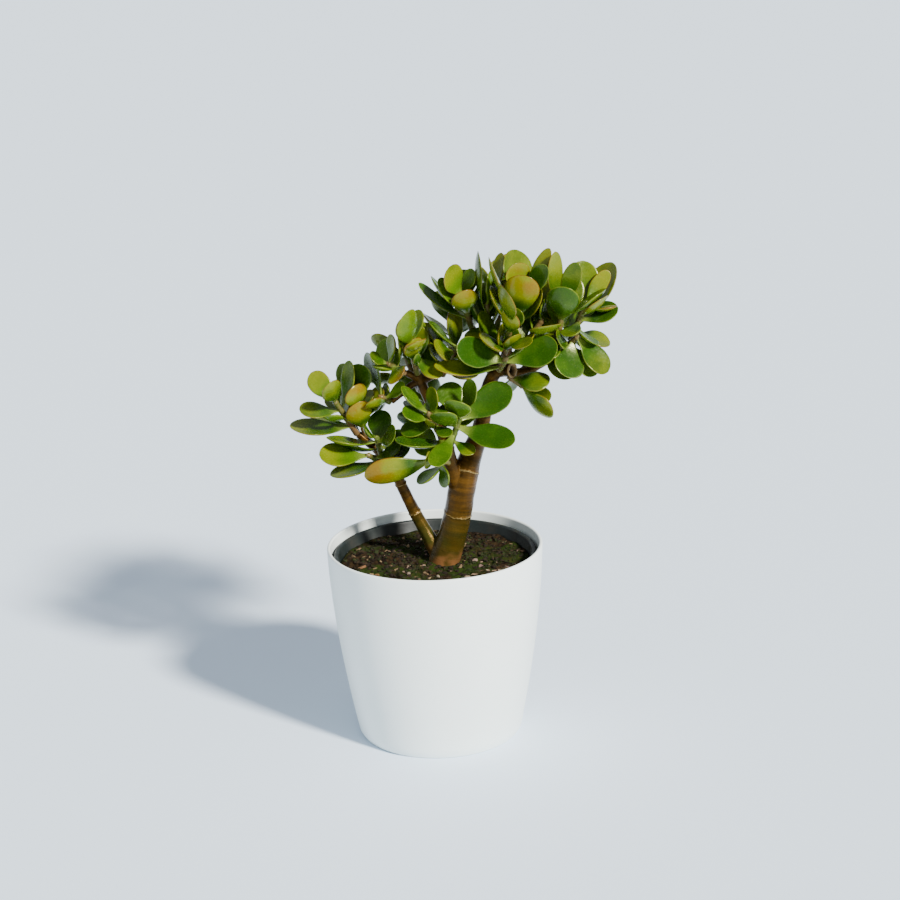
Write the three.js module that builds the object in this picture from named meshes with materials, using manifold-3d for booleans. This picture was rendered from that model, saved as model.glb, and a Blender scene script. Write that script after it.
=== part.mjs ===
// A jade bonsai in a white cachepot: the shell, the dark nursery pot standing in it,
// the soil, the woody trunk with its forks, and the leafy shoots on the branch ends.
// Millimetres, +Z up, origin at the middle of the cachepot's underside, the viewer on the -Y side.
import * as THREE from 'three';
import { mergeVertices } from 'three/addons/utils/BufferGeometryUtils.js';
import Module from 'manifold-3d';

const wasm = await Module();
wasm.setup();

// Driving sizes
const seat = 0.3; // gap kept between pieces that touch
const potSides = 32; // flats round the pots and the soil
const cachepot = {
  height: 179, lipRadius: 97, lowRadius: 73.5, footRadius: 71, wall: 3, floor: 3, bulge: 1.58,
  chamfer: [2.6, 1], cove: 3, outerRings: [4, 25, 60, 100, 140], innerRings: [110, 60, 20],
};
const liner = {
  top: 172, rimRadius: 91, rimHeight: 9, rimRound: 1, neckRadius: 88.5, footRadius: 66, wall: 1.4, floor: 1.6,
};
const drain = { count: 6, radius: 4.5, circle: 44, sides: 8 };
const soil = { level: 162, swell: 1.3, skirt: 3, rings: [76, 58, 40, 22] };
const chip = {
  count: 34, size: [2.6, 5], ring: [20, 78], narrow: 0.6, flat: 0.7, tilt: 0.5, lift: 0.25, seed: 41,
};
const leafShape = { thickness: 4, widest: 0.62, heel: 0.18, cup: 0.1, arch: 0.07, ratio: 0.6, sunk: 1.6 };
const stemShape = { foot: 3, top: 2.4, tip: 0.9, bud: 3, firstPair: 0.25, sides: 6 };
const scar = { swell: 1.07, halfWidth: 1.4 };
const scarMarks = { trunk: [82, 124, 160], middle: [46, 84], left: [53, 84] }; // how far up each limb
const barkSides = [[10, 10], [8, 8], [0, 6]]; // the least radius at a limb's foot, and its sides

// Bark limbs, each a run of [x, y, z, radius]. The first one starts in the soil.
const limbs = {
  trunk: [
    [8, 0, 126, 13.4], [8, 0, 146, 13.4], [8, 0, 160, 13.8], [11, 0, 170, 13.6],
    [16, 0, 186, 12.9], [22, 0, 208, 12.3], [26, 0, 229, 12.2], [31, 1, 249, 11.4],
    [36, 4, 262, 9.8], [43, 7, 279, 8], [48, 8, 300, 6.9], [52, 7, 321, 6.2],
    [58, 2, 335, 5.9], [64, -2, 340, 5.2],
  ],
  middle: [
    [24, 0, 226, 8.6], [20, -3, 243, 8], [16, -6, 259, 6.8], [13, -8, 275, 6],
    [9, -8, 290, 5.4], [3, -5, 306, 4.8], [-3, -2, 320, 4.4], [-7, 0, 331, 4.3],
    [-9, 0, 338, 3.8],
  ],
  left: [
    [8, 2, 160, 8.5], [0, 5, 173, 7.2], [-9, 8, 191, 5.9], [-17, 8, 207, 5.5],
    [-27, 6, 231, 5.1], [-34, 3, 249, 4.7], [-41, 0, 261, 4.3],
  ],
  far_left: [[-39, 0, 257, 4.2], [-48, 6, 266, 3.8], [-58, 10, 275, 3.6], [-65, 11, 281, 3.4]],
  droop: [[-7, 1, 332, 3.6], [-17, 3, 326, 3.2], [-26, 5, 318, 3], [-34, 5, 312, 2.8]],
  left_mid: [[-8, 1, 332, 3.6], [-14, -3, 337, 3.2], [-20, -5, 341, 3]],
  mid_up: [[-7, 0, 331, 3.8], [2, 4, 334, 3.4], [11, 6, 336, 3.2]],
  top_left: [[58, 4, 333, 4.6], [49, 12, 349, 4.2], [43, 15, 365, 3.8], [39, 15, 376, 3.4]],
  top_mid: [[58, 2, 333, 4.4], [56, 9, 348, 4], [53, 12, 364, 3.4]],
  top_right: [[63, -1, 338, 4.6], [69, 0, 355, 4.2], [75, 0, 371, 3.6]],
  right_far: [
    [63, -2, 339, 4.8], [82, 4, 335, 4.2], [103, 8, 343, 3.8], [117, 9, 351, 3.6],
    [124, 9, 360, 3.4],
  ],
  right_front: [[103, 8, 343, 3.6], [110, 3, 355, 3.3], [113, 0, 365, 3.2]],
  back_left: [[-7, 1, 332, 3.6], [-8, 18, 318, 3.3], [-12, 35, 322, 3]],
  back_mid: [[-4, 2, 334, 3.6], [6, 22, 334, 3.3], [20, 40, 340, 3]],
  back_top: [[60, 0, 335, 4.4], [60, 22, 350, 3.6], [62, 40, 362, 3.2]],
  back_right: [[82, 4, 335, 3.8], [96, 20, 344, 3.4], [108, 35, 352, 3.1]],
  back_low: [[13, -6, 278, 4], [12, 12, 268, 3.4], [10, 25, 272, 3]],
  back_far_left: [[-41, 1, 261, 3.8], [-54, 18, 270, 3.4], [-66, 30, 276, 3]],
  right_mid: [[71, 0, 350, 3.6], [81, 2, 354, 3.1]],
  stub: [[62, 0, 337, 4.6], [68, -4, 339, 5.6], [74, -9, 340, 5.8]],
};

// Leafy shoots: the foot and top of the green stem, the turn of the lowest pair round it
// in degrees, and the leaf pairs from the bottom up. Each pair stands square to the one
// below. A leaf is [length, lean from the stem, width, swing, roll], in mm and degrees.
// Left out, the width follows the length; null is a leaf that has dropped.
const shoots = {
  far_left: {
    foot: [-66, 9, 282], top: [-83, -8, 317], turn: 180, pairs: [
      [[55, 60, 29, 5, 5], [30, 70, 19, 65, 50]],
      [[26, 38, 15, -35, 15], [22, 46, 15, -20, -30]],
      [[37, 58, 23, 5, 5], [45, 48, 18, 45, -5]],
      [[34, 24, 21, 40, -5], [35, 52, 20, 30, -10]],
    ],
  },
  far_left_up: {
    foot: [-58, 11, 278], top: [-64, 0, 312], turn: -80, pairs: [
      [[35, 13, 25, -5, 10], [38, 50, 27]],
      [[35, 55, 20, 30], [27, 5, 17, 20, -80]],
      [[31, 6, 24, 25], [25, 69, 17, -40, -20]],
      [[36, 32, 25, 55, 10], [41, 53, 21, -80, -40]],
    ],
  },
  low_left: {
    foot: [-43, -2, 258], top: [-56, -12, 268], turn: 180, pairs: [
      [[46, 51, 28, 20, 20], [32, 102, 20, 5, -25]],
      [null, [27, 107, 19, -80, -15]],
      [[44, 36, 28, 5, 15], null],
    ],
  },
  low_left_up: {
    foot: [-45, 1, 266], top: [-48, -12, 284], turn: 145, pairs: [
      [[36, 83, 24, 25, 60], [28, 85, 19, 60]],
      [null, [32, 65, 25, 25, -15]],
      [[46, 72, 26, 35, 35], [30, 45, 21, 10, 15]],
      [[24, 20, 14, -30], null],
    ],
  },
  low_middle: {
    foot: [15, -12, 259], top: [1, -27, 267], turn: -160, pairs: [
      [[31, 64, 24, 20, 40], null],
      [[25, 98, 18, -10, 25], [40, 90, 27, 20]],
      [[62, 50, 30, -4, 118], [23, 25, 16, -50, 15]],
    ],
  },
  low_right: {
    foot: [16, -12, 272], top: [27, -26, 308], turn: -20, pairs: [
      [[24, 89, 14, -15, 20], [55, 89, 28, 40, 25]],
      [[36, 60, 25], [47, 99, 18, -5]],
      [[53, 83, 29, 5, 20], [34, 51, 25, 50, 55]],
      [[55, 58, 29, -40, 20], [32, 27, 25, -20, 30]],
      [[37, 3, 20, 40, 10], [32, 70, 25, -35, -20]],
    ],
  },
  inner_left: {
    foot: [8, -12, 285], top: [-1, -24, 308], turn: -135, pairs: [
      [[19, 14, 11, 10, 10], [27, 30, 16, 40]],
      [[24, 90, 14, -10, -15], [31, 83, 19, 45, -5]],
      [[29, 44, 18, -40, -5], [29, 38, 16, 15, -10]],
      [[36, 110, 20, 75], [34, 41, 18, 0, 35]],
    ],
  },
  droop: {
    foot: [-35, 4, 312], top: [-43, 0, 318], turn: -85, pairs: [
      [[26, 32, 16, -20, 20], [19, 81, 11, 0, -20]],
      [[25, 96, 15, 0, 5], [36, 115, 22, -40]],
      [null, [42, 58, 28, -15, -25]],
    ],
  },
  left_mid: {
    foot: [-21, -6, 341], top: [-35, -14, 352], turn: -65, pairs: [
      [null, [34, 65, 24]],
      [[34, 55, 18, 0, -15], [24, 20, 16, 20]],
      [[27, 81, 21, 0, -15], [28, 71, 21, -15, 5]],
      [[27, 63, 16, 15], [21, 3, 14, -20, -5]],
    ],
  },
  left_up: {
    foot: [-10, -3, 339], top: [-15, -20, 370], turn: -100, pairs: [
      [[25, 23, 9, 35, 15], [38, 35, 27]],
      [[28, 7, 21, -20, -25], [26, 10, 14, -30]],
      [[32, 110, 19, 60], [45, 80, 27, 10]],
      [[26, 34, 20, -45, -5], [30, 5, 21, -20, -15]],
      [[42, 6, 28, 45, 15], [33, 63, 19, -10, -25]],
    ],
  },
  middle_up: {
    foot: [12, 4, 335], top: [26, -10, 364], turn: 135, pairs: [
      [[40, 75, 27, 10, -30], [34, 60, 24]],
      [[30, 60, 21, -30], [34, 50, 24, -10]],
      [[34, 75, 20, 5, 25], [26, 40, 18, 0, -15]],
      [[30, 69, 23, -10, -20], [44, 70, 23, 50, 30]],
      [[34, 80, 24, 15, 30], null],
    ],
  },
  crown_front: {
    foot: [62, -6, 341], top: [68, -27, 357], turn: 175, pairs: [
      [[62, 84, 21, 10, 25], null],
      [null, [50, 76, 25, 30, 40]],
      [[49, 71, 28, 0, -5], [49, 59, 29, 15, -5]],
      [null, [33, 60, 20, -45, -65]],
    ],
  },
  front_up: {
    foot: [66, -4, 349], top: [73, -32, 391], turn: -30, pairs: [
      [[29, 15, 19, -20, -15], [30, 17, 23, -5, 10]],
      [[18, 35, 13, -15, 10], [34, 55, 27, -30]],
      [[32, 55, 19, -25, 15], null],
      [[26, 20, 18], [33, 8, 20, -10, 5]],
      [null, null],
      [null, [46, 15, 31, -40, 5]],
    ],
  },
  top_right: {
    foot: [75, 0, 371], top: [83, -12, 408], turn: 5, pairs: [
      [[44, 20, 25, 0, 15], [46, 40, 26]],
      [[38, 55, 27], [47, 6, 31, -20, 5]],
      [[40, 60, 24, 40, 15], [63, 35, 16]],
      [[50, 52, 34, 5, 20], [46, 19, 18, 75, 65]],
      [[49, 27, 13, 35, 10], [31, 23, 24, -40, -35]],
    ],
  },
  top_left: {
    foot: [39, 13, 376], top: [32, -2, 406], turn: -160, pairs: [
      [[56, 43, 14, -40, 10], [32, 90, 20, 45, 65]],
      [[33, 11, 24, 0, -10], [48, 59, 16, 20, 50]],
      [[39, 27, 19, -35, -10], [19, 25, 14, 20, 15]],
      [null, [32, 62, 24, -25, 5]],
      [[37, 6, 24, -35, -25], [27, 48, 16, 30, -10]],
    ],
  },
  top_mid: {
    foot: [53, 12, 364], top: [53, 8, 396], turn: 170, pairs: [
      [[34, 29, 14, 10, 25], [34, 20, 18, 15, -5]],
      [[28, 105, 19, -30], [38, 40, 27, 0, 15]],
      [[58, 7, 38, -20, 25], [32, 18, 20, 30, 5]],
      [[34, 10, 18, 35, 45], [49, 36, 18, -20, -30]],
    ],
  },
  right_front: {
    foot: [114, -1, 365], top: [118, -14, 395], turn: -95, pairs: [
      [[32, 105, 19, -20], [45, 20, 29, 0, 5]],
      [[40, 90, 22, 65, 50], null],
      [[42, 7, 29, -10], [44, 52, 31, -10, 15]],
      [[46, 53, 35, 15, -30], [60, 20, 18, -50, 10]],
      [null, [44, 29, 17, -20, 15]],
    ],
  },
  right_far: {
    foot: [126, 8, 362], top: [138, -2, 393], turn: 5, pairs: [
      [[35, 92, 27, 0, -5], [32, 70, 23, -30]],
      [[65, 38, 38, -30, -40], [28, 88, 22, 30, -20]],
      [[36, 53, 27, 0, 5], [26, 102, 19, 60, 35]],
      [[48, 45, 29, 10, -25], [37, 31, 24, 15, 30]],
      [[29, 67, 15, -5, -30], [40, 41, 15, -125, 15]],
    ],
  },
  right_down: {
    foot: [118, 6, 353], top: [131, -12, 370], turn: -105, pairs: [
      [[34, 90, 27], [50, 110, 26, 45, -50]],
      [[36, 90, 25, -30], [28, 55, 19, 30]],
      [[37, 95, 29, 5, 10], [36, 110, 23, -65, -25]],
      [[41, 95, 26, -25, 5], null],
    ],
  },
  right_low: {
    foot: [70, -5, 335], top: [82, -9, 326], turn: 70, pairs: [
      [[36, 35, 25, -25, 15], [36, 85, 25, 0, 15]],
      [[38, 9, 29, -5], [28, 20, 19, -30]],
    ],
  },
  back_left: {
    foot: [-12, 35, 322], top: [-20, 48, 341], turn: 20, pairs: [
      [[44, 75, 28], [44, 75, 28, -20]],
      [[40, 55, 26], [40, 55, 26]],
      [[36, 42, 23], [36, 42, 23]],
    ],
  },
  back_mid: {
    foot: [20, 40, 340], top: [24, 58, 376], turn: 50, pairs: [
      [[44, 75, 28], [44, 70, 28, 0, -15]],
      [[40, 55, 26], [40, 55, 26]],
      [[36, 42, 23], [36, 42, 23]],
      [[32, 30, 20], [32, 30, 20]],
    ],
  },
  back_top: {
    foot: [62, 40, 362], top: [68, 58, 400], turn: 15, pairs: [
      [[44, 75, 28], null],
      [[40, 55, 26], [40, 55, 26]],
      [[36, 42, 23], [36, 42, 23]],
      [[32, 30, 20], [32, 30, 20]],
    ],
  },
  back_right: {
    foot: [108, 35, 352], top: [120, 52, 386], turn: 40, pairs: [
      [[44, 75, 28], [38, 50, 22, 10, 15]],
      [[40, 50, 26, 0, 15], [40, 55, 26, 0, -15]],
      [[36, 42, 23], [36, 42, 23]],
      [[32, 30, 20], [32, 30, 20]],
    ],
  },
  back_low: {
    foot: [10, 25, 272], top: [-4, 42, 300], turn: 30, pairs: [
      [[40, 55, 26], [40, 55, 26]],
      [[36, 42, 23], [36, 42, 23]],
      [[32, 30, 20, 0, 15], [32, 25, 20]],
    ],
  },
  back_far_left: {
    foot: [-66, 30, 276], top: [-80, 44, 304], turn: 10, pairs: [
      [[40, 55, 26], [40, 55, 26]],
      [[36, 42, 23], [36, 42, 23]],
      [[32, 30, 20], [32, 30, 20]],
    ],
  },
  right_mid: {
    foot: [81, 2, 354], top: [100, -4, 383], turn: 0, pairs: [
      [[32, 23, 23, 30, 15], [40, 55, 27, -45, -40]],
      [[30, 43, 16, 35, 20], [38, 46, 30, 5, 30]],
      [[40, 75, 27, 70, 15], [23, 25, 16, 10, -30]],
    ],
  },
};

// A small seeded draw, the same on every run
function seededDraw(seed) {
  let state = seed;
  return (low, high) => {
    state = (state * 16807) % 2147483647;
    return low + ((high - low) * state) / 2147483647;
  };
}

// Closed three.js geometry to solid and back
function toSolid(geometry) {
  const bare = geometry.clone();
  bare.deleteAttribute('normal');
  bare.deleteAttribute('uv');
  const merged = mergeVertices(bare, 1e-4);
  return new wasm.Manifold(new wasm.Mesh({
    numProp: 3,
    vertProperties: new Float32Array(merged.attributes.position.array),
    triVerts: new Uint32Array(merged.index.array),
  }));
}

function toGeometry(solid) {
  const mesh = solid.getMesh();
  const geometry = new THREE.BufferGeometry();
  geometry.setAttribute('position', new THREE.BufferAttribute(new Float32Array(mesh.vertProperties), 3));
  geometry.setIndex(new THREE.BufferAttribute(new Uint32Array(mesh.triVerts), 1));
  return geometry;
}

// Joining or cutting can leave loose scraps, so the largest body is kept
function mainBody(solid) {
  const bodies = solid.decompose();
  return bodies.reduce((best, body) => (body.volume() > best.volume() ? body : best));
}

const vector = (place) => new THREE.Vector3(...place);
const radians = THREE.MathUtils.degToRad;

// Lathe about Z from a profile of [radius, height]
function turned(profile, segments) {
  const points = profile.map(([radius, height]) => new THREE.Vector2(radius, height));
  return new THREE.LatheGeometry(points, segments).rotateX(Math.PI / 2);
}

// Radius of the cachepot's outside at a height: it widens fast low down, then stands up
function cachepotRadius(height) {
  const { lipRadius, lowRadius, bulge } = cachepot;
  return lipRadius - (lipRadius - lowRadius) * (1 - height / cachepot.height) ** bulge;
}

function makeCachepot() {
  const { height, footRadius, wall, floor, chamfer, cove, outerRings, innerRings } = cachepot;
  const brim = height - wall / 2;
  const outer = [...outerRings, brim].map((z) => [cachepotRadius(z), z]);
  const inner = [brim, ...innerRings].map((z) => [cachepotRadius(z) - wall, z]);
  const lip = [cachepotRadius(height) - wall / 2, height];
  const corner = [[footRadius, 0], [footRadius + chamfer[0], chamfer[1]]];
  const innerCorner = [cachepotRadius(2 * cove) - wall - cove, floor];
  return turned([[0, 0], ...corner, ...outer, lip, ...inner, innerCorner, [0, floor]], potSides);
}

// Radius of the nursery pot's inside at a height
const linerFloor = cachepot.floor + seat;
function linerInside(height) {
  const share = (height - linerFloor) / (liner.top - linerFloor);
  return liner.footRadius + (liner.neckRadius - liner.footRadius) * share - liner.wall;
}

function makeLiner() {
  const { top, rimRadius, rimHeight, rimRound, neckRadius, footRadius, wall, floor } = liner;
  const shoulder = top - rimHeight;
  const step = linerInside(shoulder) + wall;
  const shell = toSolid(turned([
    [0, linerFloor], [footRadius, linerFloor], [step, shoulder], [rimRadius, shoulder],
    [rimRadius, top - rimRound], [rimRadius - rimRound, top], [neckRadius - wall, top],
    [linerInside(linerFloor + floor), linerFloor + floor], [0, linerFloor + floor],
  ], potSides));
  let pierced = shell;
  for (let k = 0; k < drain.count; k++) {
    const angle = (2 * Math.PI * k) / drain.count;
    const hole = new THREE.CylinderGeometry(drain.radius, drain.radius, 4 * floor, drain.sides);
    hole.rotateX(Math.PI / 2);
    hole.translate(drain.circle * Math.cos(angle), drain.circle * Math.sin(angle), linerFloor + floor / 2);
    pierced = pierced.subtract(toSolid(hole));
  }
  return pierced;
}

// Lie of the soil: low waves that die out at the wall
function soilHeight(x, y) {
  const waves = Math.sin(x / 9 + 1) * Math.cos(y / 11) + 0.6 * Math.sin(x / 5 - y / 6);
  return soil.level + soil.swell * waves;
}

function makeSoil(lowerTrunk) {
  const bottom = linerFloor + liner.floor + seat;
  const reach = (height) => linerInside(height) - seat;
  const shoulder = soil.level - soil.skirt;
  const rings = soil.rings.map((radius) => [radius, soil.level]);
  const body = turned([
    [0, bottom], [reach(bottom), bottom], [reach(shoulder), shoulder], ...rings, [0, soil.level],
  ], potSides);
  const place = body.attributes.position;
  for (let i = 0; i < place.count; i++) {
    if (place.getZ(i) > soil.level - 1) place.setZ(i, soilHeight(place.getX(i), place.getY(i)));
  }
  const draw = seededDraw(chip.seed);
  const chips = [];
  for (let k = 0; k < chip.count; k++) {
    const radius = THREE.MathUtils.lerp(...chip.ring, Math.sqrt(draw(0, 1)));
    const angle = draw(0, 2 * Math.PI);
    const size = draw(...chip.size);
    const [x, y] = [radius * Math.cos(angle), radius * Math.sin(angle)];
    const stone = new THREE.OctahedronGeometry(size).scale(1, draw(chip.narrow, 1), chip.flat);
    stone.rotateX(draw(-chip.tilt, chip.tilt)).rotateZ(draw(0, Math.PI));
    chips.push(toSolid(stone.translate(x, y, soilHeight(x, y) + chip.lift * size)));
  }
  return mainBody(wasm.Manifold.union([toSolid(body), ...chips]).subtract(lowerTrunk));
}

// A limb of bark along its run of points, a little thicker at each old leaf scar
function limbGeometry(run, marks, sides, extra) {
  const curve = new THREE.CatmullRomCurve3(run.map(([x, y, z]) => new THREE.Vector3(x, y, z)));
  const length = curve.getLength();
  const scars = marks.map((mark) => mark / length);
  const half = scar.halfWidth / length;
  const plain = Array.from({ length: run.length - 2 }, (_, i) => (i + 1) / (run.length - 1));
  const near = (stop) => scars.some((mark) => Math.abs(mark - stop) < 2.5 * half);
  const stops = [0, ...plain.filter((stop) => !near(stop)), 1];
  for (const mark of scars) stops.push(mark - half, mark, mark + half);
  stops.sort((a, b) => a - b);
  const frames = framesAlong(curve, stops);
  const geometry = new THREE.CylinderGeometry(1, 1, 1, sides, stops.length - 1);
  const place = geometry.attributes.position;
  const unit = new THREE.Vector3();
  for (let i = 0; i < place.count; i++) {
    unit.fromBufferAttribute(place, i);
    const row = Math.round((0.5 + unit.y) * (stops.length - 1));
    const swell = scars.includes(stops[row]) ? scar.swell : 1;
    const radius = radiusAlong(run, stops[row]) * swell + extra;
    const { centre, across, through } = frames[row];
    const point = centre.clone().addScaledVector(across, unit.x * radius);
    point.addScaledVector(through, -unit.z * radius);
    place.setXYZ(i, point.x, point.y, point.z);
  }
  return geometry;
}

function radiusAlong(run, share) {
  const place = share * (run.length - 1);
  const first = Math.min(Math.floor(place), run.length - 2);
  return THREE.MathUtils.lerp(run[first][3], run[first + 1][3], place - first);
}

// Cross-section frames that don't twist along the curve
function framesAlong(curve, stops) {
  let across = new THREE.Vector3(0, -1, 0);
  return stops.map((stop) => {
    const tangent = curve.getTangent(stop);
    across = across.clone().addScaledVector(tangent, -across.dot(tangent)).normalize();
    return { centre: curve.getPoint(stop), across, through: tangent.clone().cross(across) };
  });
}

// All the bark limbs joined, or the same a little fatter for cutting its neighbours clear
function makeWood(extra) {
  const solids = Object.entries(limbs).map(([name, run]) => {
    const sides = barkSides.find(([least]) => run[0][3] >= least)[1];
    return toSolid(limbGeometry(run, scarMarks[name] ?? [], sides, extra));
  });
  return mainBody(wasm.Manifold.union(solids));
}

// Half-width of a leaf along its length, as a share of its greatest half-width
function leafOutline(share) {
  const { widest, heel } = leafShape;
  if (share < widest) {
    const ramp = THREE.MathUtils.smoothstep(share, 0, widest);
    return heel + (1 - heel) * ramp ** 0.9;
  }
  return Math.sqrt(Math.max(0, 1 - ((share - widest) / (1 - widest)) ** 2.2));
}

// A thick spoon-shaped leaf along +Y from its heel at the origin, upper face towards +Z
function leafGeometry(length, width) {
  const { thickness, cup, arch, sunk } = leafShape;
  const geometry = new THREE.SphereGeometry(1, 4, 5);
  const place = geometry.attributes.position;
  const unit = new THREE.Vector3();
  for (let i = 0; i < place.count; i++) {
    unit.fromBufferAttribute(place, i);
    const ring = Math.hypot(unit.x, unit.z);
    const share = (1 + unit.y) / 2;
    const outline = leafOutline(share);
    const side = ring > 1e-6 ? (unit.x / ring) * outline : 0;
    const face = ring > 1e-6 ? unit.z / ring : 0;
    const depth = (thickness / 2) * (0.35 + 0.65 * outline) * Math.sqrt(1 - share ** 6);
    const bow = cup * width * side ** 2 - arch * length * 4 * share * (1 - share);
    place.setXYZ(i, (side * width) / 2, sunk + share * (length - sunk), face * depth + bow);
  }
  return geometry;
}

// Place of one leaf of a shoot: heel on the stem's middle line, upper face to the tip
function leafPlace(shoot, pair, side, lean, swing, roll) {
  const foot = vector(shoot.foot);
  const top = vector(shoot.top);
  const axis = top.clone().sub(foot).normalize();
  const east = new THREE.Vector3(1, 0, 0).addScaledVector(axis, -axis.x).normalize();
  const north = axis.clone().cross(east);
  const turn = radians(shoot.turn + 90 * (pair % 2) + 180 * side + swing);
  const outward = east.multiplyScalar(Math.cos(turn)).addScaledVector(north, Math.sin(turn));
  const along = axis.clone().multiplyScalar(Math.cos(lean)).addScaledVector(outward, Math.sin(lean));
  const face = axis.clone().multiplyScalar(Math.sin(lean)).addScaledVector(outward, -Math.cos(lean));
  face.applyAxisAngle(along, roll);
  const last = Math.max(shoot.pairs.length - 1, 1);
  const heel = foot.lerp(top, stemShape.firstPair + ((1 - stemShape.firstPair) * pair) / last);
  return new THREE.Matrix4().makeBasis(along.clone().cross(face), along, face).setPosition(heel);
}

function stemGeometry(shoot) {
  const foot = vector(shoot.foot);
  const top = vector(shoot.top);
  const axis = top.clone().sub(foot).normalize();
  const bud = top.clone().addScaledVector(axis, stemShape.bud);
  const run = [[...foot, stemShape.foot], [...top, stemShape.top], [...bud, stemShape.tip]];
  return limbGeometry(run, [], stemShape.sides, 0);
}

function makeShoot(shoot, woodAndGap) {
  const pieces = [toSolid(stemGeometry(shoot))];
  shoot.pairs.forEach((leaves, pair) => leaves.forEach((leaf, side) => {
    if (!leaf) return;
    const [length, lean, width = leafShape.ratio * length, swing = 0, roll = 0] = leaf;
    const geometry = leafGeometry(length, width);
    geometry.applyMatrix4(leafPlace(shoot, pair, side, radians(lean), swing, radians(roll)));
    pieces.push(toSolid(geometry));
  }));
  return mainBody(wasm.Manifold.union(pieces).subtract(woodAndGap));
}

const white = new THREE.MeshStandardMaterial({ color: 0xe9edf0, roughness: 0.35, metalness: 0 });
const black = new THREE.MeshStandardMaterial({ color: 0x16211f, roughness: 0.5, metalness: 0 });
const earth = new THREE.MeshStandardMaterial({ color: 0x33271c, roughness: 0.95, metalness: 0 });
const bark = new THREE.MeshStandardMaterial({ color: 0x6f5230, roughness: 0.55, metalness: 0 });
const green = new THREE.MeshStandardMaterial({ color: 0x5d8a2b, roughness: 0.35, metalness: 0 });

const group = new THREE.Group();

function add(name, geometry, material) {
  const mesh = new THREE.Mesh(geometry, material);
  mesh.name = name;
  group.add(mesh);
}

const woodAndGap = makeWood(seat);

add('cachepot', makeCachepot(), white);
add('liner_pot', toGeometry(makeLiner()), black);
add('soil', toGeometry(makeSoil(woodAndGap)), earth);
add('trunk', toGeometry(makeWood(0)), bark);
for (const [name, shoot] of Object.entries(shoots)) {
  add(`shoot_${name}`, toGeometry(makeShoot(shoot, woodAndGap)), green);
}

export default group;
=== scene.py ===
"""Looks of a jade bonsai standing in a white cachepot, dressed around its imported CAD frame.

Sizes are millimetres in the tables below and metres once they reach a Blender mesh. Colours
are linear red, green and blue. Every leafy shoot, the bark, the soil and both pots get a finer
mesh that keeps the CAD form.
"""
import math
import random

import bmesh
import bpy
import numpy as np
from mathutils import Matrix, Vector, noise


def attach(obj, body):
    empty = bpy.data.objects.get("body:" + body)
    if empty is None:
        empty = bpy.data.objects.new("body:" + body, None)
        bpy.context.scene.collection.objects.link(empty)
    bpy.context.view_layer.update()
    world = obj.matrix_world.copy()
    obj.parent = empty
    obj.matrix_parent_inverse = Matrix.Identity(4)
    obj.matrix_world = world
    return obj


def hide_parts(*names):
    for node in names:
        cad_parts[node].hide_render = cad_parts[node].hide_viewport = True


MM = 0.001
BODY = "root"

# Where the photograph was taken from: millimetres, degrees, and focal length in its pixels
CAMERA = {"place": (0, -2250, 979), "yaw": 0.421, "pitch": 17.568, "roll": -1.860, "focal": 2650.4}
PHOTO_WIDTH = 900
SENSOR = 36

# Driving sizes of the pots and the soil, as in the part's own source
POT_HEIGHT, LIP_RADIUS, LOW_RADIUS, FOOT_RADIUS = 179, 97, 73.5, 71
POT_WALL, POT_FLOOR, POT_BULGE = 3, 3, 1.58
FOOT_ROUND, FOOT_COVE = 2.5, 3
SEAT = 0.3
LINER_LOW = POT_FLOOR + SEAT
LINER_TOP, LINER_RIM, RIM_HEIGHT, LINER_NECK, LINER_FOOT = 172, 91, 9, 88.5, 66
LINER_WALL, LINER_FLOOR, LINER_ROUND, LINER_BEND = 1.4, 1.6, 1.4, 2
DRAIN_HOLES, DRAIN_RADIUS, DRAIN_CIRCLE, DRAIN_SIDES = 6, 4.5, 44, 24
SOIL_LEVEL, SOIL_SWELL = 162, 1.3

# A leaf: thickness, where it is widest as a share of its length, width of its heel as a share
# of its greatest width, how deep it is cupped and arched, and how far it sinks into the stem
LEAF_THICKNESS, LEAF_WIDEST, LEAF_HEEL, LEAF_CUP, LEAF_ARCH = 4, 0.62, 0.18, 0.1, 0.07
LEAF_RATIO, LEAF_SUNK = 0.6, 1.6
# How its outline swells and rounds off, and how its thickness begins and ends
LEAF_FLARE, LEAF_ROUND, HEEL_DEPTH, TIP_POWER, TIP_END = 0.9, 2.2, 0.35, 6, 1.004
# Its section: height and roundness of the upper face and of the lower one
UPPER_HEIGHT, UPPER_POWER, LOWER_HEIGHT, LOWER_POWER = 0.78, 0.72, 1.12, 0.85
# How leaves differ: waves along the edge, bend to one side, twist in degrees, and colour
EDGE_WAVE, EDGE_WAVES, SIDE_BEND, TWIST = 0.02, (1.2, 2.0), 0.02, 9
SUN_SPREAD, TONE_SPREAD, OLD_TONE, YOUNG_TONE = (0.45, 1.5), (0.1, 0.9), 0.7, 0.4
# The distance from the rim, in mm, given to places that lie well inside it
FAR_FROM_RIM = 2

# A green stem: its radii, the bud at its top, where the first pair stands as a share of its
# length, and the swelling at each pair
STEM_FOOT, STEM_TOP, STEM_TIP, STEM_BUD, FIRST_PAIR = 3, 2.4, 0.9, 3, 0.25
NODE_SWELL, NODE_WIDTH, STEM_SPAN = 0.13, 1.1, 30

# Seeds of the random differences between leaves and between crumbs
LEAF_SEED, CRUMB_SEED = 7, 23

# Fineness of the meshes
POT_SIDES = 128
LEAF_RINGS, LEAF_SIDES = 22, 22
STEM_SIDES, STEM_STEP = 14, 0.8
BARK_SIDES, BARK_STEP, BARK_VOXEL, LIMB_STEP = 28, 1.5, 0.8, 1.0
SOIL_RINGS, SOIL_SIDES = 84, 220

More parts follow.
